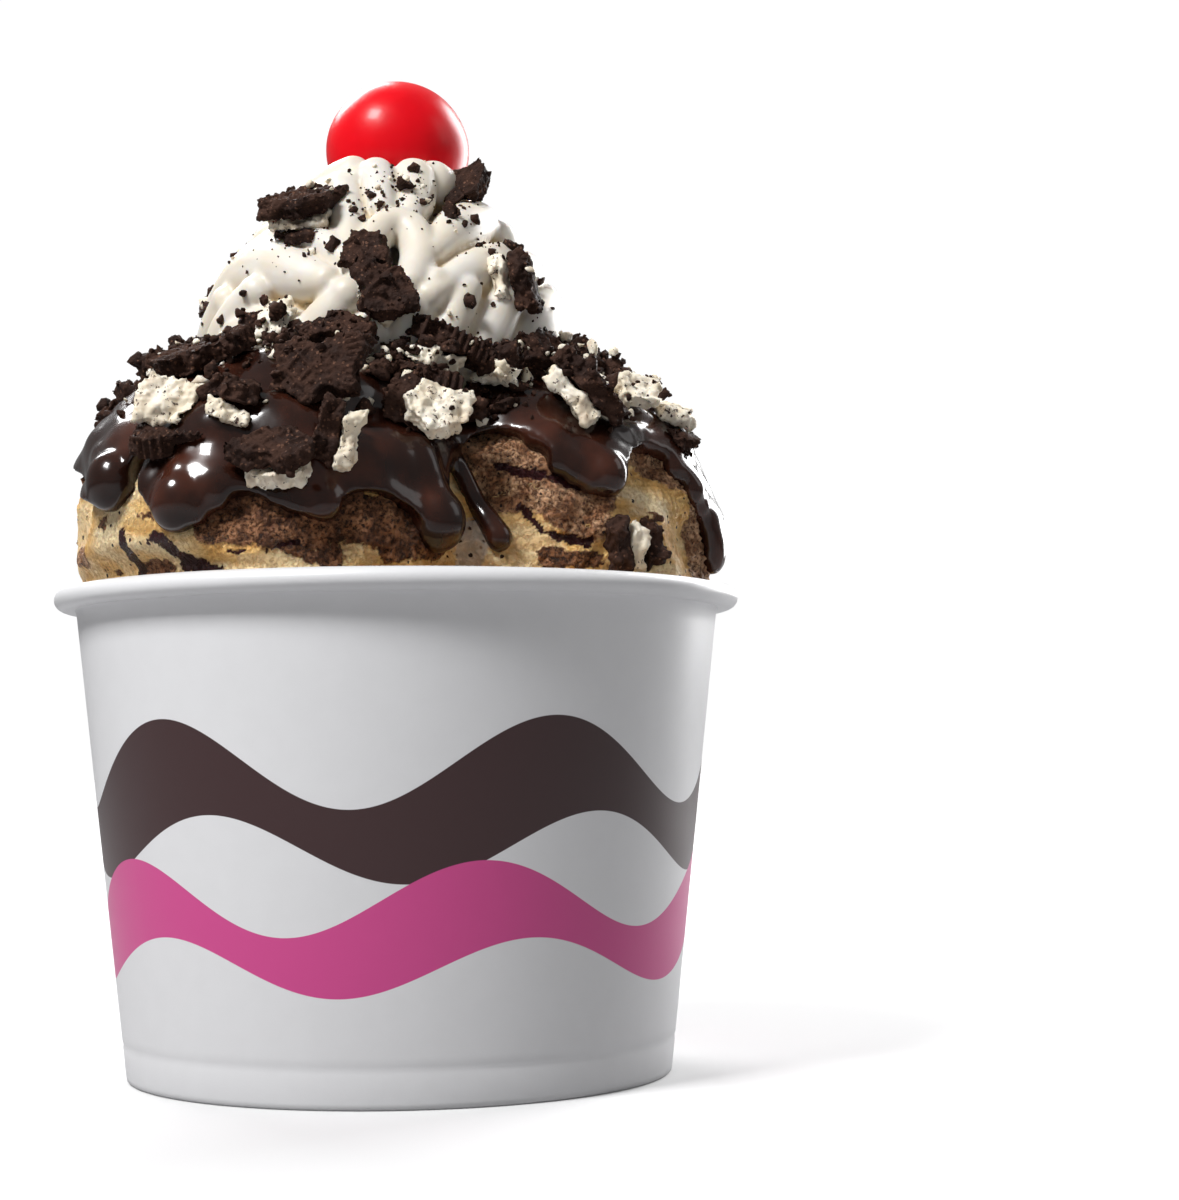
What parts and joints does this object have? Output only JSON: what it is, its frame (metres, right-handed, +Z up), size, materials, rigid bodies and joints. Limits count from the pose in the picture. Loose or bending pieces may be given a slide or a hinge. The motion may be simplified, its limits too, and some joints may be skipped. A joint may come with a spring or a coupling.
{
  "type": "hot fudge sundae",
  "caption": "Ice cream sundae in a plain paper cup with hot fudge, broken chocolate sandwich cookies, whipped cream and a cherry.",
  "frame": {"origin": "centre of the cup's foot, on the surface that it stands on", "axes": "+Z up along the cup's axis, -Y towards the side that the picture shows, +X to its right"},
  "size_m": [0.114, 0.114, 0.1687],
  "materials": {
    "paper": "coated white board",
    "ice_cream": "frozen, granular",
    "hot_fudge": "wet gloss",
    "whipped_cream": "soft satin",
    "cherry": "wet gloss",
    "wafer": "dry, crumbly",
    "creme": "waxy, matt"
  },
  "bodies": {
    "root": {"back_chip_wafer": "wafer", "back_chunk_creme": "creme", "back_chunk_wafer": "wafer", "back_right_creme": "creme", "back_right_wafer": "wafer", "back_shard_wafer": "wafer", "back_shelf_wafer": "wafer", "back_slab_creme": "creme", "back_slab_wafer": "wafer", "back_valley_wafer": "wafer", "bar_front_wafer": "wafer", "block_right_creme": "creme", "block_right_wafer": "wafer", "cherry": "cherry", "chip_right_wafer": "wafer", "chunk_front_creme": "creme", "chunk_front_wafer": "wafer", "chunk_left_creme": "creme", "chunk_left_wafer": "wafer", "cookie_front_creme": "creme", "cookie_front_wafer": "wafer", "cream_back_wafer": "wafer", "cream_side_wafer": "wafer", "crumble_front_wafer": "wafer", "crumble_left_creme": "creme", "cube_left_creme": "creme", "cube_left_wafer": "wafer", "cube_left_wafer_under": "wafer", "cube_top_creme": "creme", "cube_top_wafer": "wafer", "cup": "paper", "fin_left_wafer": "wafer", "flake_left_creme": "creme", "flake_right_creme": "creme", "hot_fudge": "hot_fudge", "lens_front_creme": "creme", "lens_front_wafer": "wafer", "lump_front_creme": "creme", "lump_front_wafer": "wafer", "patch_right_creme": "creme", "patch_right_wafer": "wafer", "scoop_back": "ice_cream", "scoop_left": "ice_cream", "scoop_right": "ice_cream", "shard_left_wafer": "wafer", "shelf_left_wafer": "wafer", "shield_front_creme": "creme", "shield_front_wafer": "wafer", "shoulder_right_creme": "creme", "shoulder_right_wafer": "wafer", "slab_right_creme": "creme", "slab_right_wafer": "wafer", "sliver_front_wafer": "wafer", "sunk_right_creme": "creme", "sunk_right_wafer": "wafer", "sunk_right_wafer_under": "wafer", "wedge_front_creme": "creme", "wedge_front_wafer": "wafer", "whipped_cream": "whipped_cream"}
  },
  "joints": []
}
